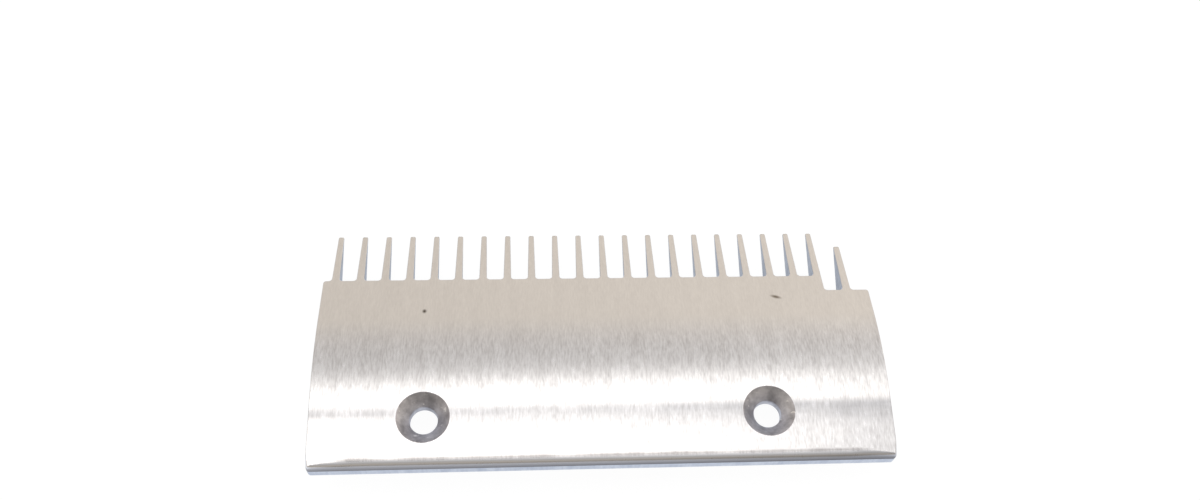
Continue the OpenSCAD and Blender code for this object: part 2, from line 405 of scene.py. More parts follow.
print("white is", linear("#ffffff")[:3], "and mid-grey is", round(linear("#808080")[0], 3))

# %% Cells of noise, and marks made of them
noise_roughness = 0.6


def noise_of(tree, place, size, detail):
    """Noise whose cells have the given lengths in millimetres along X, Y and Z."""
    scaled = add(tree, "Mapping", {"Vector": place, "Scale": [1 / (v * MM) for v in size]})
    return add(tree, "TexNoise", {"Vector": scaled, "Scale": 1.0, "Detail": detail,
                                  "Roughness": noise_roughness})


def spots(tree, place, size, detail, low, high):
    """The strength of a mark: 0 where the noise of cells is under low, 1 where over high."""
    return add(tree, "MapRange", {"Value": noise_of(tree, place, size, detail), "From Min": low,
                                  "From Max": high})


def with_marks(tree, colour, *marks):
    """Lays marks on a colour one after another. A mark is its strength, its shade, and the way
    it is laid: MIX covers the colour, and MULTIPLY darkens it by the shade."""
    for strength, shade, way in marks:
        colour = add(tree, "Mix", {"Factor": strength, "A": colour, "B": linear(shade)},
                     data_type="RGBA", blend_type=way)
    return colour


print("all noise has a roughness of", noise_roughness)

# %% A bare metal
def metal(name):
    """A new material with a fully metallic shader at its default IOR, and the place of each
    point on the object."""
    material = bpy.data.materials.new(name)
    material.use_nodes = True
    tree = material.node_tree
    shader = tree.nodes["Principled BSDF"]
    shader.inputs["Metallic"].default_value = 1.0
    return material, tree, shader, add(tree, "TexCoord").outputs["Object"]


def wire(tree, shader, **outputs):
    """Joins finished patterns to the shader's sockets; Base_Color stands for Base Color."""
    for name, node in outputs.items():
        output = next(socket for socket in node.outputs if socket.enabled)
        tree.links.new(output, shader.inputs[name.replace("_", " ")])


def y_at(depth):
    """The Y of a depth, in metres: depths are counted from the rear edge."""
    return (depth + rear_y) * MM


print("the rear edge is at Y =", round(y_at(0), 4), "m")

# %% [markdown]
# Brushed aluminium, for the tread
#
# The tread is ground and then brushed along the way that feet travel. That leaves fine, long
# streaks, which spread every reflection across them. The streaks come from noise that is
# stretched along Y, and the shader's own anisotropy spreads the light sideways. Real grit
# leaves lines of a few hundredths of a millimetre. They are drawn 0.6 mm wide here, because
# finer ones would vanish in the picture. The belt pressed harder on the bend than on the
# slope, so the streaks are stronger there.

# %% Streaks of the brushing belt
streak, belt_pass, belt_share = (0.6, 3.2, 2.0), (3.2, 30.0, 9.0), 0.3
crisp_from, crisp_to, slope_contrast = 56.0, 44.0, 0.24


def streaks(tree, place, axes):
    """Fine streaks with broad passes of the belt under them, as 0 to 1. On the slope the
    contrast falls to a quarter."""
    fine = noise_of(tree, place, streak, 3.0)
    passes = noise_of(tree, place, belt_pass, 2.0)
    both = add(tree, "Mix", {"Factor": belt_share, "A": fine, "B": passes}, data_type="FLOAT")
    full = add(tree, "MapRange", {"Value": both, "From Min": 0.3, "From Max": 0.7})
    crisp = add(tree, "MapRange", {"Value": axes["Y"], "From Min": y_at(crisp_from),
                                   "From Max": y_at(crisp_to), "To Min": slope_contrast})
    return fine, add(tree, "Mix", {"Factor": crisp, "A": 0.5, "B": full}, data_type="FLOAT")


print(f"streaks of {streak[0]} by {streak[1]} mm, passes of {belt_pass[0]} by {belt_pass[1]} mm")

# %% [markdown]
# The dull band on the tread
#
# A dull band crosses the flat part in front of the screw holes, where two passes of the
# grinding wheel met and the flat part mirrors less light. Its darkness is painted shade. It is
# a thin line on the left and broad on the right. Behind it, on the right, painted shade dulls the
# streaks down to the rear edge. A picture of the band would be stuck to one view, so it is
# worked out from the place on the plate: a rise and a drop along Y, with patches and streaks in them.

# %% The dull band
dull_start_left, dull_start_right, dull_full, dull_end = 16.2, 3.0, 18.6, 19.4
drop_run, band_patch, right_dullness = 3.8, (14, 5, 9), 0.55


def painted_dull_band(tree, place, axes, grain):
    """How much painted shade dulls the metal: a rise times a drop along Y, times patches and
    streaks. The rise starts further back on the right, and never falls under a share that grows
    from the middle to the right."""
    start = add(tree, "MapRange", {"Value": axes["X"], "From Min": -0.09, "From Max": 0.09,
                                   "To Min": y_at(dull_start_left),
                                   "To Max": y_at(dull_start_right)})
    rise = add(tree, "MapRange", {"Value": axes["Y"], "From Min": start,
                                  "From Max": y_at(dull_full)})
    behind = add(tree, "MapRange", {"Value": axes["X"], "From Min": 0.01, "From Max": 0.095,
                                    "To Max": right_dullness})
    band = add(tree, "Math", {0: rise, 1: behind}, operation="MAXIMUM")
    drop = add(tree, "MapRange", {"Value": axes["Y"], "From Min": y_at(dull_end),
                                  "From Max": y_at(dull_end + drop_run), "To Min": 1.0,
                                  "To Max": 0.0}, interpolation_type="SMOOTHSTEP")
    across = add(tree, "MapRange", {"Value": axes["X"], "From Min": -0.01, "From Max": 0.095,
                                    "To Min": 0.76, "To Max": 0.98})
    patches = add(tree, "MapRange", {"Value": noise_of(tree, place, band_patch, 5.0),
                                     "From Min": 0.3, "From Max": 0.6, "To Min": 0.84,
                                     "To Max": 1.04})
    lines = add(tree, "MapRange", {"Value": grain, "To Min": 0.88, "To Max": 1.1})
    for share in (drop, across, patches, lines):
        band = add(tree, "Math", {0: band, 1: share}, operation="MULTIPLY")
    return band


print("the dull band ends", dull_end + drop_run, "mm from the rear edge")

# %% [markdown]
# The rear rounding on the tread
#
# The top of the rear rounding gets a painted highlight, and painted shade darkens the rounding
# towards its foot, which mirrors the dark side of the room behind the camera. In front of the
# rounding, a darker border on the flat part frays into streaks.

# %% The rear rounding and its border
rear_edge_r, rear_drop = 2.8, 3.4
# Heights under the tread of the painted highlight at the rounding's top and of the painted shade at
# its foot.
highlight_from, highlight_to, foot_shade_from, foot_shade_power = 0.02, 0.2, 0.7, 0.4
fray_from, wave_size, fray_low, fray_high = 5.2, (9, 30, 30), 1.15, 1.6
end_from, end_to, end_loss = 4.0, 14.0, 0.6


def rear_rounding(tree, axes, start, end):
    """How far the rear rounding has come down: 0 where it is start lower than the tread, 1
    where it is end lower, and 0 on the bend, which is further in front."""
    low = add(tree, "MapRange", {"Value": axes["Z"], "From Min": (flange_t - start) * MM,
                                 "From Max": (flange_t - end) * MM})
    rear = add(tree, "MapRange", {"Value": axes["Y"], "From Min": y_at(5), "From Max": y_at(4)})
    return add(tree, "Math", {0: low, 1: rear}, operation="MULTIPLY")


def frayed_border(tree, place, axes, grain):
    """A darker border on the flat part: nearness to the rounding plus streaks and waves of noise,
    above a limit, so that the border frays. Towards both ends it fades."""
    reach = add(tree, "Mix", {"Factor": 0.5, "A": grain, "B": noise_of(tree, place, wave_size, 2.0)},
                data_type="FLOAT")
    near = add(tree, "MapRange", {"Value": axes["Y"], "From Min": y_at(fray_from),
                                  "From Max": y_at(rear_edge_r)})
    ends = [add(tree, "MapRange", {"Value": axes["X"], "From Min": (edge + way * end_from) * MM,
                                   "From Max": (edge + way * end_to) * MM, "To Min": -end_loss,
                                   "To Max": 0}) for edge, way in ((left_x, 1), (right_x, -1))]
    for share in (near, *ends):
        reach = add(tree, "Math", {0: reach, 1: share}, operation="ADD")
    return add(tree, "MapRange", {"Value": reach, "From Min": fray_low, "From Max": fray_high})


print("the rounding is", rear_drop, "mm high, and dark from", foot_shade_from, "mm under the tread")

# %% [markdown]
# Dents in the tread
#
# Gas in the casting left one round pit, and a blow left one slanting dent. Both are shallow, and
# only their darkness shows in the photograph, so each is a dark oval in the finish and not a
# hole in the mesh.

# %% Dents: their place, half size, turn and shade
# Each dent is painted shade: a dark oval where shade falls in the hollow.
dent_shades = [((-61.6, 60.2), (1.1, 1.4), 0.0, "#6b655e"), ((68.6, 65.0), (3.1, 1.15), -20.0, "#989086")]


def dent_shade(tree, place, centre, half_size, turn):
    """A dark oval of painted shade that fades to its rim, measured in a space where the oval is a
    unit ball.
    """
    x, depth = centre
    ball = add(tree, "Mapping", {
        "Vector": place, "Location": (x * MM, y_at(depth), float(top_z(depth)) * MM),
        "Rotation": (-slope, 0, math.radians(turn)),
        "Scale": (half_size[0] * MM, half_size[1] * MM, MM)}, vector_type="TEXTURE")
    away = add(tree, "VectorMath", {0: ball}, operation="LENGTH").outputs["Value"]
    return add(tree, "MapRange", {"Value": away, "From Min": 0.1, "From Max": 1.0,
                                  "To Min": 1.0, "To Max": 0.0}, interpolation_type="SMOOTHSTEP")


print(len(dent_shades), "dent_shades")

# %% The whole finish of the tread
def brushed_tread():
    """Ground and brushed aluminium: pale grey, with streaks along Y and its marks."""
    material, tree, shader, place = metal("brushed_aluminium_tread")
    shader.inputs["Anisotropic"].default_value = 0.5
    axes = add(tree, "SeparateXYZ", {0: place}).outputs
    fine, grain = streaks(tree, place, axes)
    # top is a painted highlight on the rear rounding, and foot is painted shade towards its foot.
    top = rear_rounding(tree, axes, highlight_from, highlight_to)
    foot = add(tree, "Math", {0: rear_rounding(tree, axes, foot_shade_from, rear_drop), 1: foot_shade_power},
               operation="POWER")
    border = add(tree, "Math", {0: frayed_border(tree, place, axes, grain), 1: top},
                 operation="SUBTRACT", use_clamp=True)
    # Painted shade: the dull band darkens the reflection on the flat part.
    dull = painted_dull_band(tree, place, axes, grain)
    colour = with_marks(tree, linear("#c5c1be"), (grain, "#f7f4f1", "MIX"), (top, "#fdfbfa", "MIX"),
                    (dull, "#bfc0c3", "MULTIPLY"), (foot, "#757376", "MULTIPLY"),
                    (border, "#aeabab", "MULTIPLY"))
    # The dents are laid on as painted shade.
    for *oval, shade in dent_shades:
        colour = with_marks(tree, colour, (dent_shade(tree, place, *oval), shade, "MULTIPLY"))
    rough = add(tree, "MapRange", {"Value": grain, "To Min": 0.34, "To Max": 0.26})
    bump = add(tree, "Bump", {"Height": fine, "Strength": 0.14, "Distance": 0.02 * MM})
    across = add(tree, "CombineXYZ", {"X": 1.0})
    wire(tree, shader, Base_Color=colour, Roughness=rough, Normal=bump, Tangent=across)
    return material


finishes = [brushed_tread()]
print("the tread's finish has", len(finishes[0].node_tree.nodes), "nodes")

# %% [markdown]
# Cast aluminium, for the underside
#
# Metal that touched the mould keeps a grey skin. It is cloudy where the hot metal flowed and
# cooled at different speeds, it has darker stains, and handling has scratched it. Noises of
# three sizes give the clouds, the stains and the fine grain. Long cells of noise, turned to
# run from the lower left to the upper right, give the scratches, and a coarse noise decides
# where there are any. Where the ridges slope down from the heel, brownish painted shade darkens
# the faces that turn down, away from the light. A darker copy of this finish is painted shade
# for the gullets, which lie deep between the fins.

# %% Scratches, and painted shade on the ridges
scratch, scratch_turn, scratched_area = (0.8, 24.0, 30.0), math.radians(-52), (30, 30, 30)
ridge_shade_from, ridge_shade_to = 70, 66


def scratches(tree, place):
    """Where the skin is scratched: long thin cells, kept only where a coarse noise is high."""
    slanting = add(tree, "VectorRotate", {"Vector": place, "Angle": scratch_turn},
                   rotation_type="Z_AXIS")
    lines = spots(tree, slanting, scratch, 1.0, 0.66, 0.73)
    areas = spots(tree, place, scratched_area, 1.0, 0.44, 0.62)
    return add(tree, "Math", {0: lines, 1: areas}, operation="MULTIPLY")


def shaded_ridges(tree, axes):
    """How much brownish painted shade darkens the skin: most where the ridges leave the heel,
    none on their level part.
    """
    brown = add(tree, "MapRange", {"Value": axes["Z"], "From Min": (heel_z - 0.3) * MM,
                                   "From Max": (heel_z - 2.5) * MM})
    above_ridge = add(tree, "MapRange", {"Value": axes["Z"], "From Min": (ridge_z + 0.5) * MM,
                                         "From Max": (ridge_z + 4) * MM})
    behind = add(tree, "MapRange", {"Value": axes["Y"], "From Min": y_at(ridge_shade_from),
                                    "From Max": y_at(ridge_shade_to)})
    # Only faces that turn down get the painted shade.
    facing = add(tree, "SeparateXYZ", {0: add(tree, "NewGeometry").outputs["Normal"]}).outputs
    downwards = add(tree, "MapRange", {"Value": facing["Z"], "From Min": -0.7, "From Max": -0.84})
    for share in (above_ridge, behind, downwards):
        brown = add(tree, "Math", {0: brown, 1: share}, operation="MULTIPLY")
    return brown


print(f"scratches of {scratch[0]} by {scratch[1]} mm")

# %% Cast aluminium
cloud, stain, skin_grain = (5.0, 5.0, 5.0), (22.0, 22.0, 22.0), (0.6, 0.6, 0.6)


def cast_skin(name, dark, light):
    """Die-cast aluminium as it leaves the mould: cloudy, stained and scratched grey."""
    material, tree, shader, place = metal(name)
    axes = add(tree, "SeparateXYZ", {0: place}).outputs
    clouds = spots(tree, place, cloud, 6.0, 0.3, 0.7)
    stains = spots(tree, place, stain, 3.0, 0.42, 0.6)
    colour = with_marks(tree, linear(dark), (clouds, light, "MIX"), (stains, "#cfccc9", "MULTIPLY"),
                    (shaded_ridges(tree, axes), "#cdbba9", "MULTIPLY"),
                    (scratches(tree, place), "#e4e2df", "MIX"))
    rough = add(tree, "MapRange", {"Value": clouds, "To Min": 0.58, "To Max": 0.48})
    bump = add(tree, "Bump", {"Height": noise_of(tree, place, skin_grain, 2.0), "Strength": 0.3,
                              "Distance": 0.05 * MM})
    wire(tree, shader, Base_Color=colour, Roughness=rough, Normal=bump)
    return material


finishes.append(cast_skin("cast_aluminium_skin", "#b0afae", "#bfbebc"))
print("cast skin: clouds of", cloud[0], "mm and stains of", stain[0], "mm")

# %% [markdown]
# Cut cones of the screw holes
#
# A countersink is cut by a turning tool, which leaves fine rings round the hole and a
# cleaner, darker shine than the cast skin. A wave of the distance from the hole's axis draws
# the rings. Both holes share it, because it reads the distance from the middle without sign.
# Real rings are about 0.1 mm apart, and they are drawn 0.25 mm apart so that they show.

# %% Countersinks
ring_step, oil_cloud, glint_size = 0.25, (5, 5, 5), (2.6, 1.6, 2.6)


def turning_rings(tree, axes):
    """Turning rings: the sine of the distance from the nearer hole's axis."""
    side = add(tree, "Math", {0: axes["X"]}, operation="ABSOLUTE")
    off = add(tree, "Math", {0: side, 1: float(hole_x[1]) * MM}, operation="SUBTRACT")
    flat = add(tree, "CombineXYZ", {"X": off, "Y": axes["Y"]})
    away = add(tree, "VectorMath", {0: flat}, operation="LENGTH").outputs["Value"]
    turns = add(tree, "Math", {0: away, 1: 2 * math.pi / (ring_step * MM)}, operation="MULTIPLY")
    return add(tree, "Math", {0: turns}, operation="SINE")


def cut_cone():
    """Cut aluminium: fine rings round the hole's axis, clouded by old oil, with bright spots of
    painted glint.
    """
    material, tree, shader, place = metal("cut_aluminium_cone")
    shader.inputs["Roughness"].default_value = 0.34
    axes = add(tree, "SeparateXYZ", {0: place}).outputs
    clouds = spots(tree, place, oil_cloud, 4.0, 0.34, 0.64)
    # The bright spots are painted glints on the cut cone.
    painted_glints = spots(tree, place, glint_size, 2.0, 0.64, 0.72)
    colour = with_marks(tree, linear("#a09ea1"), (clouds, "#d7d5d8", "MIX"), (painted_glints, "#f4f2f0", "MIX"))
    bump = add(tree, "Bump", {"Height": turning_rings(tree, axes), "Strength": 0.2,
                              "Distance": 0.02 * MM})
    wire(tree, shader, Base_Color=colour, Normal=bump)
    return material


finishes.append(cut_cone())
print("cones: one ring each", ring_step, "mm")

# %% [markdown]
# Walls that slid along the mould
#
# The plate's edges and the sides of the teeth slid along the steel of the mould as the casting
# was pushed out, so they are cleaner and smoother than the rest, with faint upright draw
# marks. The plate's edges are painted lighter and bluish, a painted reflection. The sides of the
# teeth are painted darker, with the shade that falls between the deep fins.

# %% Walls and tooth sides
draw_mark, wall_cloud = (1.0, 1.0, 12.0), (6, 6, 6)


def drawn_wall(name, dark, light):
    """Cast aluminium that slid along the mould: faint upright draw marks and soft clouds."""
    material, tree, shader, place = metal(name)
    both = add(tree, "Mix", {"Factor": 0.6, "A": noise_of(tree, place, draw_mark, 2.0),
                             "B": noise_of(tree, place, wall_cloud, 3.0)},
               data_type="FLOAT")
    shade = add(tree, "MapRange", {"Value": both, "From Min": 0.34, "From Max": 0.66})
    rough = add(tree, "MapRange", {"Value": shade, "To Min": 0.38, "To Max": 0.28})
    wire(tree, shader, Base_Color=with_marks(tree, linear(dark), (shade, light, "MIX")),
         Roughness=rough)
    return material


# The edges are painted lighter and bluish, a painted reflection, and the tooth sides are painted
# darker with shade between the fins.
finishes.append(drawn_wall("drawn_aluminium_edge_bluish_reflection", "#cbd1dd", "#e4e8ef"))
finishes.append(drawn_wall("drawn_aluminium_tooth_side_shade", "#a0a4ab", "#b9bdc3"))
# The gullets get a darker copy of the cast skin: painted shade for the deep space between the fins.
finishes.append(cast_skin("shaded_cast_aluminium_gullet", "#6f6b68", "#8b8784"))
print("finishes:", [finish.name for finish in finishes])

# %% [markdown]
# Walls: a profile carried along the outline
#
# The flange and the ramp have a wall round their outline: a rounding at the tread, the wall
# itself, and a small rounding at the underside. A Bevel modifier could round the edges, but the
# rear edge is rounder than the rest. So a profile is carried along the outline, and its
# roundings change on the way.

# %% The wall's profile along a path
turn_steps = 4


def wall(path, under, top_round, bottom_round, top_drop=None):
    """Points of a wall over a path whose rows are x, share of the tooth's half width, depth,
    and the outward direction in x and depth. Columns run from the tread to the underside: a
    quarter turn, the wall, a quarter turn. The first turn is as high as top_drop, or round."""
    x, share, depth, out_x, out_depth = path.T
    sine, cosine = round_steps(turn_steps)
    level = np.zeros((len(x), 1))
    top = np.atleast_1d(top_round)[:, None] + level
    low = np.atleast_1d(bottom_round)[:, None] + level
    drop = top if top_drop is None else top_drop[:, None]
    inset = np.concatenate([top * (1 - sine), level, low * (1 - sine[::-1])], axis=1)
    at = depth[:, None] - inset * out_depth[:, None]
    high = top_z(at[:, :turn_steps + 1]) - drop * (1 - cosine)
    base = under(at[:, turn_steps + 2:]) + low * (1 - cosine[::-1])
    middle = (high[:, -1:] + base[:, :1]) / 2
    z = np.concatenate([high, middle, base], axis=1)
    plan_x = x[:, None] + share[:, None] * tooth_half(z) - inset * out_x[:, None]
    return np.stack([plan_x, at, z], axis=2)


def arc(centre, radius, start, end, steps=6):
    """Points round a centre with their outward direction; angles in degrees from +X."""
    turn = np.radians(np.linspace(start, end, steps + 1))
    out = np.column_stack([np.cos(turn), np.sin(turn)])
    return np.column_stack([np.array(centre) + radius * out, out])


def end_face(first, last, count=1, finish=CAST):
    """The flat face between two columns of wall points, cut into count strips."""
    t = np.linspace(0, 1, count + 1)[:, None, None]
    points = first * (1 - t) + last * t
    return grid(points, finish), points


print("a wall has", 2 * (turn_steps + 1) + 1, "points from tread to underside")

# %% [markdown]
# The flange
#
# The flange is the flat rear part that is screwed down on its seat. Two countersunk holes go
# through it. Their cones could be cut with a Boolean modifier, but a profile turned round the
# hole's axis closes cleanly with the plate and has even faces. Where the tread begins to bend,
# the rim of a cone dips, so the profile's heights are given for each direction.

# %% A profile turned round an upright axis
round_count = 48
full_turn = np.linspace(0, 2 * math.pi, round_count + 1)


def turned(centre, profile, finish):
    """A profile of radius and height turned once round an upright axis: x and depth are the
    cosine and sine of the turn times the radius. Gives the patch, its first and last ring."""
    radius = np.array([np.broadcast_to(r, len(full_turn)) for r, _ in profile]).T
    z = np.array([np.broadcast_to(h, len(full_turn)) for _, h in profile]).T
    x = centre[0] + radius * np.cos(full_turn)[:, None]
    depth = centre[1] + radius * np.sin(full_turn)[:, None]
    points = np.stack([x, depth, z], axis=2)
    points[-1] = points[0]
    return grid(points, finish), points[:-1, 0], points[:-1, -1]


print("a turned profile has", round_count, "faces round its axis")

# %% Countersunk screw holes
sink_r, rim_ease, rim_drops, bore_ease, plain_from = 9.25, 0.1, (0.04, 0.13), 0.3, 1.6
foot_height = flange_t - (sink_r - hole_r)


def countersunk(centre):
    """The cone, its sharp foot, the bore and the bore's eased lower edge. The cone stands at
    45 degrees, so its rim moves inwards by as much as the tread falls."""
    rim = np.full(len(full_turn), sink_r)
    # Each round brings the rim nearer to the place where cone and tread meet.
    for _ in range(3):
        rim_z = top_z(centre[1] + rim * np.sin(full_turn))
        rim = sink_r - (flange_t - rim_z)
    outer = rim + rim_ease
    profile = [(outer, top_z(centre[1] + outer * np.sin(full_turn))),
               (rim, rim_z - rim_drops[0]), (rim - rim_ease, rim_z - rim_drops[1]),
               (hole_r + plain_from, foot_height + plain_from),
               (hole_r + rim_ease, foot_height + rim_ease),
               (hole_r, foot_height - rim_ease / 2), (hole_r, plain_from), (hole_r, bore_ease),
               (hole_r + bore_ease / 4, bore_ease / 3), (hole_r + bore_ease, 0.0)]
    return turned(centre, profile, CONE)


print(f"cones {2 * sink_r:.1f} mm wide over bores of {2 * hole_r:.1f} mm")

# %% [markdown]
# Ejector marks
#
# Underneath, round marks show where ejector pins pushed the casting out of its mould. Each mark
# is a shallow disc inside a raised ring of metal that was pressed into the gap round the pin.
# A ring this fine could be bump, but then it would be missing from the mesh, so it is turned.

# %% Ejector marks
ring_out, ring_in, ring_high, disc_ease = 0.35, 0.1, 0.12, 0.04


def ejector_mark(centre, radius, seat, floor, ring=ring_high, finish=CAST):
    """A shallow disc with a raised ring round it. The seat is the height round it, and floor
    is the height of the disc, which is higher because the mark goes up into the plate."""
    turn_sine = np.sin(full_turn)
    crest_out = (ring_out + ring_in) / 2
    profile = [(radius + reach, seat(centre[1] + (radius + reach) * turn_sine) - high)
               for reach, high in ((ring_out, 0.0), (crest_out, ring), (ring_in, ring))]
    edge = seat(centre[1] + radius * turn_sine)
    profile += [(radius, np.minimum(edge + disc_ease / 2, floor)), (radius - disc_ease, floor),
                (radius / 2, floor), (0, floor)]
    patch, outer, _ = turned(centre, profile, finish)
    return patch, outer


print("rings stand", ring_high, "mm proud")

# %% [markdown]
# The flange's outline
#
# On the real plate the rear edge was rounded on a belt. The rounding is higher than it is deep,
# and it gets less deep towards both ends. The sides and the underside are only eased.

# %% The flange's outline
rear_corner_r, edge_round, foot_round = 1.0, 0.25, 0.3
flat_depths, from_end = [12.0, 6.0, 4.0, 2.5], np.array([0.2, 0.5, 1, 1.5, 2, 3, 4, 6, 8, 10, 12, 16])
side_depths = np.concatenate([np.linspace(heel_start, bend_start, 10), flat_depths])
inner_x = left_x + rear_corner_r, right_x - rear_corner_r
rear_x = np.concatenate([inner_x[0] + from_end, inner_x[1] - from_end[::-1]])
left_side = np.array([(left_x, depth, -1, 0) for depth in side_depths])
rear_side = np.array([(x, 0, 0, -1) for x in rear_x])
right_side = left_side[::-1] * [1, 1, -1, 1]
right_side[:, 0] = right_x
corners = [arc((x, rear_corner_r), rear_corner_r, start, start + 90)
           for x, start in zip(inner_x, (180, 270))]
plan = np.concatenate([left_side, corners[0], rear_side, corners[1], right_side])
print("the outline has", len(plan), "rows of x, depth and outward direction")

# %% The roundings along the outline
# The rear rounding's depth grows with the root of the distance from a corner, and on the sides
# it shrinks to the easing. Its height changes on the sides alone.
end_fade, side_fade, foot_fade = 12.0, 4.0, 1.5
along_rear = np.minimum(plan[:, 0] - inner_x[0], inner_x[1] - plan[:, 0])
broad = np.sqrt(np.clip(along_rear / end_fade, 0, 1))
on_side = np.clip((plan[:, 1] - rear_corner_r) / side_fade, 0, 1)
top_round = rear_corner_r + (rear_edge_r - rear_corner_r) * broad
top_round -= (rear_corner_r - edge_round) * on_side
top_drop = rear_drop - (rear_drop - edge_round) * on_side
foot = foot_round * np.clip((heel_start - plan[:, 1]) / foot_fade, 0, 1)
print(f"the rounding is {top_round.min():.2f} mm to {top_round.max():.2f} mm deep")

# %% Walls, holes and marks of the flange
rim_end, joint_strips = turn_steps + 1, 50
mark_r, mark_sink, from_side, from_hole = 4.35, 0.3, 17.4, 20.5


def seat_z(depth):
    """The flange's underside is its level seat."""
    return 0.0 * depth


flange_path = np.column_stack([plan[:, 0], np.zeros(len(plan)), plan[:, 1:]])
flange_wall = wall(flange_path, seat_z, top_round, foot, top_drop)
cut, cut_points = end_face(flange_wall[-1], flange_wall[0], joint_strips)
patches = [grid(flange_wall[:, :rim_end], TREAD), grid(flange_wall[:, turn_steps:], WALL), cut]
sinks = [(x, -rear_y) for x in hole_x]
marks = [(x, -rear_y) for x in (left_x + from_side, hole_x[0] + from_hole,
                                hole_x[1] - from_hole, right_x - from_side)]
cones = [countersunk(centre) for centre in sinks]
discs = [ejector_mark(centre, mark_r, seat_z, mark_sink) for centre in marks]
patches += [cone[0] for cone in cones] + [disc[0] for disc in discs]
print(len(cones), "screw holes and", len(discs), "ejector marks")

# %% Build the flange
side_gap, rear_gap, joint_gap, cone_gap, mark_gap = 2, 4.5, 1, 1, 1.5
loose = scatter(left_x + side_gap, right_x - side_gap, rear_gap, heel_start - joint_gap)
loop = without_repeats(np.concatenate([flange_wall[:, 0], cut_points[1:-1, 0]]))
patches.append(fill([loop] + [cone[1] for cone in cones],
                    away_from(loose, sinks, sink_r + cone_gap), top_z, TREAD))
loop = without_repeats(np.concatenate([flange_wall[:, -1], cut_points[1:-1, -1]]))
loose = away_from(away_from(loose, sinks, hole_r + mark_gap), marks, mark_r + mark_gap)
low_holes = [cone[2] for cone in cones] + [disc[1] for disc in discs]
patches.append(fill([loop] + low_holes, loose, seat_z, CAST))
make_piece("flange", patches, "mounting_flange")

# %% [markdown]
# The ramp
#
# In front of the flange the tread bends and slopes down to the steps. Its front edge has a
# small fillet beside each tooth, so that nothing catches there, and steps back beside the
# last tooth. The outline is one path that goes in and out between the teeth. The ramp carries
# a short stub of each tooth, and the tooth goes on from there.

# %% Runs of the ramp's outline
front_corner_r, root_fillet_r = 1.0, 1.2


def side_line(x, depths, out):
    """A straight side of the plate, as path rows."""
    return np.array([(x, 0, depth, out, 0) for depth in depths])


def front_corner(x, root, start):
    """The rounded front corner, as path rows from one angle to a quarter turn less."""
    bow = arc((x, root - front_corner_r), front_corner_r, start, start - 90)
    return np.column_stack([bow[:, 0], np.zeros(len(bow)), bow[:, 1:]])


def beside_tooth(x, root, side, steps=5):
    """The fillet from the front edge into one side of a tooth, as path rows from the edge to
    the stub. It curves about a point in front of the edge, so outwards is towards it."""
    turn = np.linspace(0, math.pi / 2, steps + 1)
    out = np.column_stack([side * np.sin(turn), np.cos(turn)])
    plan_x = x + side * (root_fillet_r - root_fillet_r * np.sin(turn))
    depth = root + root_fillet_r * (1 - np.cos(turn))
    return np.column_stack([plan_x, np.full(steps + 1, side), depth, out])


last = tooth_count - 1
stub_depth = root_of + root_fillet_r
print("each tooth's stub ends", root_fillet_r, "mm in front of the edge")

# %% The ramp's outline between the teeth
slope_steps = [62.0, 68.0]
side_steps = np.concatenate([np.linspace(heel_start, bend_end, 15), slope_steps])
ramp_runs = []
for gap in range(tooth_count + 1):
    root = root_of[0] if gap < last else root_of[last]
    rows = []
    if gap == 0:
        rows.append(side_line(left_x, side_steps, -1))
        rows.append(front_corner(left_x + front_corner_r, root, 180))
    if gap == last:
        between = (stub_depth[0], (stub_depth[0] + stub_depth[last]) / 2)
        rows.append(np.array([(tooth_x[gap - 1], 1, depth, 1, 0) for depth in between]))
    if gap > 0:
        rows.append(beside_tooth(tooth_x[gap - 1], root, 1)[::-1])
    if gap < tooth_count:
        rows.append(beside_tooth(tooth_x[gap], root, -1))
    else:
        rows.append(front_corner(right_x - front_corner_r, root, 90))
        rows.append(side_line(right_x, side_steps[:-1][::-1], 1))
    ramp_runs.append(np.concatenate(rows))
print(len(ramp_runs), "runs of wall between", tooth_count, "teeth")

# %% Walls and cuts of the ramp
stub_fade, heel_front, heel_fade = 1 / 3, 56, 3
walls = []
for run in ramp_runs:
    clear_of_stub = np.clip((1 - np.abs(run[:, 1] * run[:, 3])) / stub_fade, 0, 1)
    clear_of_heel = np.clip((run[:, 2] - heel_front) / heel_fade, 0, 1)
    walls.append(wall(run, under_z, edge_round, foot_round * clear_of_stub * clear_of_heel))
cuts = [end_face(walls[k][-1], walls[k + 1][0])[0] for k in range(tooth_count)]
joint, joint_points = end_face(walls[-1][-1], walls[0][0], joint_strips)
patches = [grid(w[:, :rim_end], TREAD) for w in walls] + cuts + [joint]
patches += [grid(w[:, turn_steps:], WALL) for w in walls]
print(len(cuts), "cuts where the teeth go on")

# %% [markdown]
# Small marks and ribs in the gullets
#
# In every third gullet a smaller ejector pin left its mark, and a slim rib runs to it from the
# point of the gullet. The rib stiffens the spot that the pin pushes on. Its section is carried
# along the depth: its crest is level, and its foot follows the sloping underside.

# %% Small marks and ribs
gap_mid = (tooth_x[:-1] + tooth_x[1:]) / 2
marked = np.arange(2, tooth_count - 1, 3) - 1
small_r, small_depth, small_ring = 1.85, 70.0, 0.05
small_floor = under_z(small_depth - small_r) + mark_sink
rib_start, rib_gap, rib_half, rib_round, rib_sink = 54.5, 0.5, 0.55, 0.35, 0.4


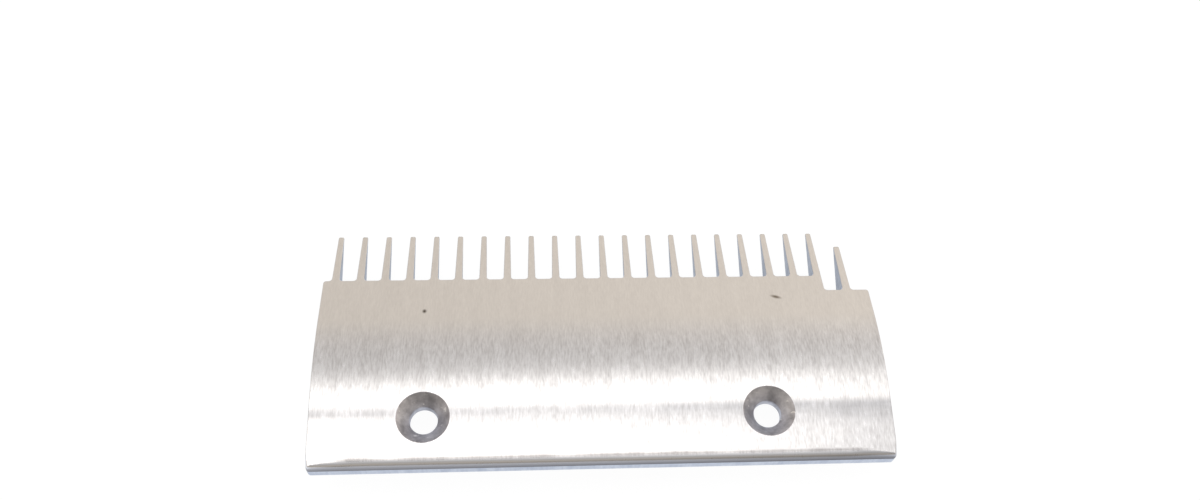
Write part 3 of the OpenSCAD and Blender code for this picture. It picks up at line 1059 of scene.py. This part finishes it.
def rib(x):
    """A slim block with a round crest at the height of the heel. It sinks into the plate."""
    depth = np.linspace(rib_start, small_depth - small_r - rib_gap, 8)
    sine, cosine = round_steps(turn_steps)
    x_half = np.concatenate([[rib_half], rib_half - rib_round * (1 - cosine), [0]])
    rise = np.concatenate([[0], rib_round * (1 - sine), [0]])
    across = np.concatenate([-x_half, x_half[-2::-1]])
    z = np.repeat(heel_z + np.concatenate([rise, rise[-2::-1]])[None], len(depth), axis=0)
    z[:, [0, -1]] = (under_z(depth) + rib_sink)[:, None]
    points = np.stack([np.broadcast_to(x + across, z.shape),
                       np.broadcast_to(depth[:, None], z.shape), z], axis=2)
    ring = np.concatenate([points, points[:, :1]], axis=1)
    middle = len(x_half)
    ends = [end_face(row[:middle], row[:middle - 2:-1])[0] for row in (points[0], points[-1])]
    return [grid(ring), *ends]


small_marks = [(gap_mid[k], small_depth) for k in marked]
discs = [ejector_mark(centre, small_r, under_z, small_floor, small_ring, SHADED_GULLET)
         for centre in small_marks]
patches += [disc[0] for disc in discs] + [part for k in marked for part in rib(gap_mid[k])]
print(len(discs), "small marks, each with its rib")

# %% Build the ramp
edge_gap, heel_gap, front_gap, pin_gap = 1.5, 1.5, 1, 1
top_loop = np.concatenate([w[:, 0] for w in walls] + [joint_points[1:-1, 0]])
low_loop = np.concatenate([w[:, -1] for w in walls] + [joint_points[1:-1, -1]])
loose = scatter(left_x + edge_gap, right_x - edge_gap, heel_start + heel_gap,
                root_of[0] - front_gap)
loose = loose[(loose[:, 1] < root_of[last] - front_gap) | (loose[:, 0] < tooth_x[last - 1])]
patches.append(fill([without_repeats(top_loop)], loose, top_z, TREAD))
patches.append(fill([without_repeats(low_loop)] + [disc[1] for disc in discs],
                    away_from(loose, small_marks, small_r + pin_gap), under_z, SHADED_GULLET))
make_piece("ramp", patches, "tread_ramp")

# %% [markdown]
# The heel
#
# Behind the fins a thick bar hooks down in front of the plate's support. A cube with a Bevel
# would do for a straight bar, but this one steps back on the right, where the last gullet
# starts earlier. So its section is worked out at a few stations and carried along X. It is
# rounded at its rear foot and has a small fillet where it leaves the seat.

# %% The heel's section
gullet_apex, flare_end, end_root_setback = 53.8, 68.0, 4.5
heel_round, seat_fillet, side_round, foot_start = 1.5, 0.6, 0.4, 40.0
end_apex = gullet_apex - end_root_setback


def heel_section(front, inset):
    """The bar's section as depth and height, down the rear, under the foot and up the front.
    The inset moves the rear and the foot inwards for the rounding of the side edges."""
    sine, cosine = round_steps(5)
    upper = np.column_stack([heel_start - seat_fillet + seat_fillet * sine,
                             -seat_fillet + seat_fillet * cosine])
    lower = np.column_stack([heel_start + heel_round - heel_round * cosine,
                             heel_z + heel_round - heel_round * sine])
    rear = np.concatenate([upper, lower]) + [inset, 0]
    rear[:, 1] = np.maximum(rear[:, 1], heel_z + inset)
    foot = np.column_stack([np.linspace(foot_start, front, 4), np.full(4, heel_z + inset)])
    roof_depth = np.linspace(front, heel_start, 12)
    roof = np.column_stack([roof_depth, under_z(roof_depth)])
    close = np.array([[heel_start, 0.0]]) + [inset, 0]
    return np.concatenate([rear, foot, roof, close])


print("the heel's section has", len(heel_section(gullet_apex, 0)), "points")

# %% Build the heel
sine, cosine = round_steps(turn_steps)
last_half = (tooth_x[last] - tooth_x[last - 1]) / 2
run_out = end_root_setback / (flare_end - gullet_apex)
step_x = tooth_x[last - 1] + last_half - (last_half - ridge_half) * run_out
# Each station has an x, the depth of the bar's front, and how far the section is drawn in.
stations = [(left_x + side_round * (1 - c), gullet_apex, side_round * (1 - s))
            for s, c in zip(sine, cosine)]
stations += [(step_x, gullet_apex, 0), (tooth_x[last - 1] + last_half, end_apex, 0)]
stations += [(right_x - side_round * (1 - c), end_apex, side_round * (1 - s))
             for s, c in zip(sine[::-1], cosine[::-1])]
sections = [heel_section(front, inset) for _, front, inset in stations]
rings = np.array([np.column_stack([np.full(len(section), station[0]), section])
                  for station, section in zip(stations, sections)])
patches = [grid(np.concatenate([rings, rings[:, :1]], axis=1))]
for ring in (rings[0], rings[-1]):
    points, cells, finish = fill([without_repeats(ring[:, [1, 2, 0]])], [], seat_z)
    patches.append((points[:, [2, 0, 1]], cells, finish))
make_piece("heel", patches, "heel_bar")

# %% [markdown]
# The teeth and their fins
#
# Each tooth is the front of a deep fin that stiffens the plate. It narrows downwards, so that
# the casting leaves its mould, and its root flares out where it meets the heel. That makes
# the pointed gullets between the fins. The whole tooth is one surface of two parameters:
# depth along the fin, and the way round its section. A section starts in the middle of the
# ridge, turns up the flank, climbs the wall, and ends in a fillet under the plate or, in
# front of the plate, in the round edge of the tread.

# %% The underside of a tooth
ridge_start, ridge_full, tip_high, tip_foot_r = 46.0, 67.0, 1.1, 0.6
level_past_root, below_heel = 1.0, 0.01


def underside(i, depth):
    """Heights of the ridge of tooth i. It falls from the heel to ridge_z, stays level to
    just past the root, rises in a straight line, and turns up round a circle at the tip. The
    first result goes on falling, for the flanks."""
    back = end_root_setback if i == last else 0.0
    fall = (ridge_z - heel_z) / (ridge_full - ridge_start)
    roof = heel_z + fall * (depth - ridge_start + back) - below_heel
    level_end, tip = root_of[i] + level_past_root, root_of[i] + tooth_len
    circle_at, circle_z = tip - tip_foot_r, float(top_z(tip)) - tip_high + tip_foot_r
    run, rise = circle_at - level_end, circle_z - ridge_z
    tilt = math.atan2(rise, run) - math.asin(tip_foot_r / math.hypot(run, rise))
    line = ridge_z + math.tan(tilt) * (depth - level_end)
    along = np.clip((depth - circle_at) / tip_foot_r, 0, 1)
    foot = circle_z - tip_foot_r * np.sqrt(1 - along**2)
    front = np.where(along > math.sin(tilt), foot, line)
    return roof, np.maximum(np.maximum(roof, ridge_z), front)


lowest = underside(0, np.linspace(ridge_start, tip_depth[0], 60))[1]
print(f"the ridge runs from {lowest[0]:.1f} down to {lowest.min():.1f} mm")

# %% The room beside a tooth
def gap_space(i, side):
    """Half the gap beside tooth i, measured from the middle of the tooth."""
    if side < 0:
        return tooth_x[0] - left_x if i == 0 else (tooth_x[i] - tooth_x[i - 1]) / 2
    return right_x - tooth_x[last] if i == last else (tooth_x[i + 1] - tooth_x[i]) / 2


def gap_back(i, side):
    """How far the gap beside tooth i is set back: only the gaps beside the last tooth are."""
    return end_root_setback if i == last or (i == last - 1 and side > 0) else 0.0


def flare_share(i, side, depth):
    """How much of the root's flare is left: 1 at the gullet's point, 0 where it has ended."""
    return (flare_end - gap_back(i, side) - depth) / (flare_end - gullet_apex)


print("room beside a middle tooth:", round(gap_space(5, 1), 2), "mm")

# %% A section of a tooth from its corners
ridge_cut, flank_cut = 0.3, 0.45


def join_section(first, ease, corner, wall_top, edge):
    """The points of a section from its few corners: two Bezier corners, a straight climb in
    thirds, and at the top a quarter turn as wide as edge and as high as its size."""
    low = soft_corner(first, ease, corner, ridge_cut)
    high = soft_corner(ease, corner, wall_top, flank_cut)
    t = np.array([1 / 3, 2 / 3])[:, None]
    climb = high[:, -1:] * (1 - t) + wall_top[:, None] * t
    sine, cosine = round_steps(turn_steps)
    bend = np.stack([edge[:, None] * (1 - cosine), np.abs(edge)[:, None] * sine], axis=-1)
    return np.concatenate([low, high, climb, wall_top[:, None] + bend], axis=1)


print("the first corner is cut by", ridge_cut, "mm and the second by", flank_cut, "mm")

# %% The corners of a tooth's sections
flank_rise, ridge_ease, least_flank, least_wall = 1.088, 0.5, 0.005, 0.01


def tooth_corners(i, side, depth, lid_z, edge):
    """Four points of one side of tooth i at many depths, as half width and height: the middle
    of the ridge, its side, the end of the flank, and the top of the wall."""
    space, share = gap_space(i, side), flare_share(i, side, depth)
    roof, ridge = underside(i, depth)
    # The flank rises from the ridge until it meets the flare, or the drafted wall at bar_z.
    flare = np.where(share > 0, ridge_half + (space - ridge_half) * np.minimum(share, 1), 0)
    bar_z = (roof + flank_rise * draft * -ridge_z) / (1 - flank_rise * draft)
    flank_z = np.where(flare > tooth_half(bar_z), roof + flank_rise * (flare - ridge_half), bar_z)
    flank_z = np.clip(flank_z, ridge + ridge_ease, np.maximum(lid_z, ridge + least_flank))
    # The wall starts at the flank's end, and is no wider at the top than the gap leaves.
    at_lid = ridge_half + (lid_z - roof) / flank_rise
    corner_x = np.minimum(np.maximum(flare, tooth_half(flank_z)), np.maximum(at_lid, ridge_half))
    up = np.maximum(lid_z - np.abs(edge), flank_z)
    top_x = np.maximum(np.minimum(flare, space), tooth_half(up))
    first = np.column_stack([0 * depth, ridge])
    ease = np.column_stack([ridge_half - ridge_ease + 0 * depth, ridge])
    corner = np.column_stack([corner_x, flank_z])
    wall_top = np.column_stack([np.maximum(corner_x, top_x), up])
    no_wall = flank_z >= lid_z - least_wall
    wall_top[no_wall] = corner[no_wall]
    return first, ease, corner, wall_top


print("wall drafted by", round(math.degrees(math.atan(draft)), 2), "degrees")

# %% Sections of a tooth
tip_side_r, least_half = 0.45, 0.02


def tooth_half_rings(i, side, depth, lid_z, edge):
    """One side of the sections of tooth i at many depths: ridge, flank, wall, then a quarter
    turn of signed radius edge, outwards under the plate and inwards at the tread. Round the
    tip, the half width shrinks by a quarter circle of tip_side_r."""
    ring = join_section(*tooth_corners(i, side, depth, lid_z, edge), edge)
    pinch = np.clip((depth - root_of[i] - tooth_len + tip_side_r) / tip_side_r, 0, 1)
    pinch = tip_side_r * (1 - np.sqrt(1 - pinch**2))
    ring[..., 0] = np.maximum(ring[..., 0] - pinch[:, None], least_half)
    return np.stack([tooth_x[i] + side * ring[..., 0],
                     np.broadcast_to(depth[:, None], ring.shape[:2]), ring[..., 1]], axis=-1)


print("the tip's sides are rounded by", tip_side_r, "mm")

# %% Depths of the sections, and their top edges
before_root, past_root, before_tip = np.array([3, 1.5, 0.75, 0]), np.array([8, 15]), 2.2
fin_fillet, fillet_share, fillet_end = 0.8, 0.9, 0.3


def tooth_depths(i):
    """Depths behind the heel plane, under the plate, and in front of it. At both jumps of the
    lid a depth is repeated. The steps are short at the root and round the tip."""
    back, root, tip = end_root_setback if i == last else 0.0, root_of[i], tip_depth[i]
    apex, full = gullet_apex - back, ridge_full - back
    behind = np.linspace(ridge_start - back, apex, 7)
    stub = root + root_fillet_r
    below = np.concatenate([np.linspace(apex, full, 12), [full + 1], root - before_root, [stub]])
    sine = round_steps(5)[0]
    ahead = np.concatenate([[stub], root + past_root, [tip - before_tip],
                            tip - tip_foot_r * (1 - sine), tip - tip_side_r * (1 - sine[2:-1])])
    return behind, below, np.unique(np.round(ahead, 5))


def fin_edges(i, side, parts):
    """The signed radius at the top of each section: none behind the heel plane, the fin's
    fillet where the gullet leaves room for it, and the tread's rounding in front."""
    behind, below, ahead = parts
    space, gap_root = gap_space(i, side), root_of[last] if gap_back(i, side) else root_of[0]
    share = np.clip(flare_share(i, side, below), 0, 1)
    wide = ridge_half + (space - ridge_half) * share
    room = np.maximum(space - np.maximum(wide, tooth_half(under_z(below))), 0)
    fade = np.clip(gap_root - fillet_end - below, 0, 1)
    fillet = np.minimum(fin_fillet, fillet_share * room) * fade
    return np.concatenate([np.zeros(len(behind)), fillet, np.full(len(ahead), -edge_round)])


print("sections of the first tooth:", sum(len(part) for part in tooth_depths(0)))

# %% The finish of each face of a tooth
upright_from, top_share, slack = 0.85, 0.75, 0.01


def tooth_finish(points, cells, finish, front):
    """Upright faces, whose normal's X is over upright_from, get the sides' finish, darkened by
    painted shade, and the top in front of the plate that of the tread."""
    a, b, c = (points[cells[:, k]] for k in range(3))
    facing = np.cross(b - a, c - a)
    facing /= np.maximum(np.linalg.norm(facing, axis=1, keepdims=True), tiny)
    finish[np.abs(facing[:, 0]) > upright_from] = SHADED_SIDE
    near_top = points[cells][..., 2] > top_z(points[cells][..., 1]) - edge_round * top_share
    in_front = points[cells][..., 1].min(axis=1) >= front - slack
    finish[in_front & near_top.all(axis=1)] = TREAD


print("a face is upright when the X of its normal is over", upright_from)

# %% Build the teeth
def build_tooth(i):
    """Two mirrored halves of sections, joined into one closed tube with a face at each end."""
    behind, below, ahead = parts = tooth_depths(i)
    drop = np.clip((ahead - tip_depth[i] + edge_round) / edge_round, 0, 1)
    drop = edge_round * (1 - np.sqrt(1 - drop**2))
    lid_z = np.concatenate([np.full(len(behind), heel_z), under_z(below), top_z(ahead) - drop])
    halves = [tooth_half_rings(i, side, np.concatenate(parts), lid_z, fin_edges(i, side, parts))
              for side in (-1, 1)]
    ring = np.concatenate([halves[0][:, ::-1], halves[1]], axis=1)
    points, cells, finish = grid(np.concatenate([ring, ring[:, :1]], axis=1))
    tooth_finish(points, cells, finish, stub_depth[i])
    ends = [end_face(halves[0][k], halves[1][k])[0] for k in (0, -1)]
    make_piece(f"tooth_piece_{i + 1:02d}", [(points, cells, finish), *ends],
               tooth_names[i])


for number in range(tooth_count):
    build_tooth(number)

# %% [markdown]
# The table
#
# The photograph shows the part on pure white. A white table under soft light comes out
# slightly grey, so the camera's own rays are lifted most of the way to white, and the rest
# keeps the shadow. Rays that bounce off the metal see the table a little darker and bluer.
# The table is one-sided, so a view from below still sees the underside.

# %% The table's plane
floor_half, floor_gap = 4.0, 0.2 * MM
floor_z = cad_box[0][2] - floor_gap
corners = [(-floor_half, -floor_half, floor_z), (floor_half, -floor_half, floor_z),
           (floor_half, floor_half, floor_z), (-floor_half, floor_half, floor_z)]
mesh = bpy.data.meshes.new("table")
mesh.from_pydata(corners, [], [(0, 1, 2, 3)])
table = bpy.data.objects.new("table", mesh)
bpy.context.scene.collection.objects.link(table)
print("table at", round(floor_z / MM, 2), "mm")

# %% The table's paint
camera_lift, mirror_lift, glow_strength = 0.9, 0.8, 1.06
paint = bpy.data.materials.new("white_table")
paint.use_nodes = True
tree = paint.node_tree
matt = tree.nodes["Principled BSDF"]
matt.inputs["Base Color"].default_value = linear("#f4f4f4")
matt.inputs["Roughness"].default_value = 0.9
rays = add(tree, "LightPath").outputs
seen = add(tree, "Mix", {"Factor": rays["Is Glossy Ray"], "A": linear("#ffffff"),
                         "B": linear("#dfe5f0")}, data_type="RGBA")
glow = add(tree, "Emission", {"Color": seen, "Strength": glow_strength})
for_camera = add(tree, "Math", {0: rays["Is Camera Ray"], 1: camera_lift}, operation="MULTIPLY")
for_metal = add(tree, "Math", {0: rays["Is Glossy Ray"], 1: mirror_lift}, operation="MULTIPLY")
lift = add(tree, "Math", {0: for_camera, 1: for_metal}, operation="ADD")
top_side = add(tree, "MixShader", {0: lift, 1: matt.outputs[0], 2: glow})
behind = add(tree, "NewGeometry").outputs["Backfacing"]
shown = add(tree, "MixShader", {0: behind, 1: top_side, 2: add(tree, "BsdfTransparent")})
tree.links.new(shown.outputs[0], tree.nodes["Material Output"].inputs["Surface"])
table.data.materials.append(paint)
print("the camera's rays are lifted by", camera_lift, "and the mirrored ones by", mirror_lift)

# %% [markdown]
# The room
#
# Metal shows what it reflects, so the room is planned from the tread's outline. Its slope
# mirrors the far wall, warm and light near the floor. Across the bend the mirror climbs to the
# darker, cooler middle of the wall. The side behind the camera is darkest: the rear rounding
# and the tops of the cones reflect it. The right side of the room is a little brighter than
# the left, because the photograph's slope gets lighter that way.

# %% Walls of the room, from the floor line up
near_wall, far_wall, left_share, right_share = 0.45, 1.0, 0.88, 1.09
stops = [(0.0, "#f1e8dc"), (0.44, "#f0e8de"), (0.52, "#ebe6df"), (0.6, "#dfdbda"),
         (0.67, "#d4d3d4"), (0.8, "#d8d8da"), (1.0, "#e8e8ea")]
world = bpy.data.worlds.new("studio")
bpy.context.scene.world = world
world.use_nodes = True
tree = world.node_tree
way = add(tree, "TexCoord").outputs["Generated"]
axes = add(tree, "SeparateXYZ", {0: way}).outputs
room = add(tree, "ValToRGB", {"Fac": axes["Z"]})
while len(room.color_ramp.elements) < len(stops):
    room.color_ramp.elements.new(0.5)
for element, (height, shade) in zip(room.color_ramp.elements, stops):
    element.position, element.color = height, linear(shade)
strength = add(tree, "MapRange", {"Value": axes["Y"], "From Min": -0.95, "From Max": -0.05,
                                  "To Min": near_wall, "To Max": far_wall},
               interpolation_type="SMOOTHSTEP")
sideways = add(tree, "MapRange", {"Value": axes["X"], "From Min": -0.25, "From Max": 0.3,
                                  "To Min": left_share, "To Max": right_share})
strength = add(tree, "Math", {0: strength, 1: sideways}, operation="MULTIPLY")
backdrop = tree.nodes["Background"]
tree.links.new(room.outputs["Color"], backdrop.inputs["Color"])
tree.links.new(strength.outputs[0], backdrop.inputs["Strength"])
print("room:", len(stops), "tones from the floor line to the ceiling")

# %% [markdown]
# One large soft box hangs above the plate, and the flat part mirrors it almost white. Its far
# edge ends where the tread starts to bend, and a small turn about Z makes that edge run as
# it does in the photograph. Its right end stops above the plate's right end, which is why the
# brushing shows there.

# %% The soft box overhead
box_at, box_wide, box_high, box_watts = Vector((-0.1, 0.205, 0.9)), 1.0, 0.6, 2.45
box_turn = math.radians(4.5)
lamp = bpy.data.lights.new("overhead", "AREA")
lamp.shape, lamp.size, lamp.size_y, lamp.energy = "RECTANGLE", box_wide, box_high, box_watts
holder = bpy.data.objects.new("overhead", lamp)
bpy.context.scene.collection.objects.link(holder)
holder.matrix_world = Matrix.Translation(box_at) @ Matrix.Rotation(box_turn, 4, "Z")
print("soft box reaches from x", round(box_at.x - box_wide / 2, 2), "to",
      round(box_at.x + box_wide / 2, 2), "m")

# %% [markdown]
# The camera
#
# The photograph's camera was found by fitting a pinhole camera to the holes, roots, tips and
# corners of the part. Its lens shift only moves the picture in its frame.

# %% Camera and view
photo_wide, photo_high, focal_px, roll = 1200, 500, 1288.033, math.radians(8.84)
centre_px = (632.292, 248.098)
camera_at, camera_aim = Vector((-0.02288, -0.14147, 0.43769)), Vector((0.01475, 0.06378, 0.008))
camera_data = bpy.data.cameras.new("photo_camera")
camera_data.sensor_width = 36
camera_data.lens = camera_data.sensor_width * focal_px / photo_wide
camera_data.shift_x = -(centre_px[0] - photo_wide / 2) / photo_wide
camera_data.shift_y = -(photo_high / 2 - centre_px[1]) / photo_wide
camera = bpy.data.objects.new("photo_camera", camera_data)
bpy.context.scene.collection.objects.link(camera)
bpy.context.scene.camera = camera
gaze = (camera_aim - camera_at).to_track_quat("-Z", "Y")
gaze = gaze @ Quaternion((0, 0, 1), roll)
camera.matrix_world = Matrix.Translation(camera_at) @ gaze.to_matrix().to_4x4()
bpy.context.scene.view_settings.view_transform = "Standard"
print("lens", round(camera_data.lens, 1), "mm on a 36 mm sensor")
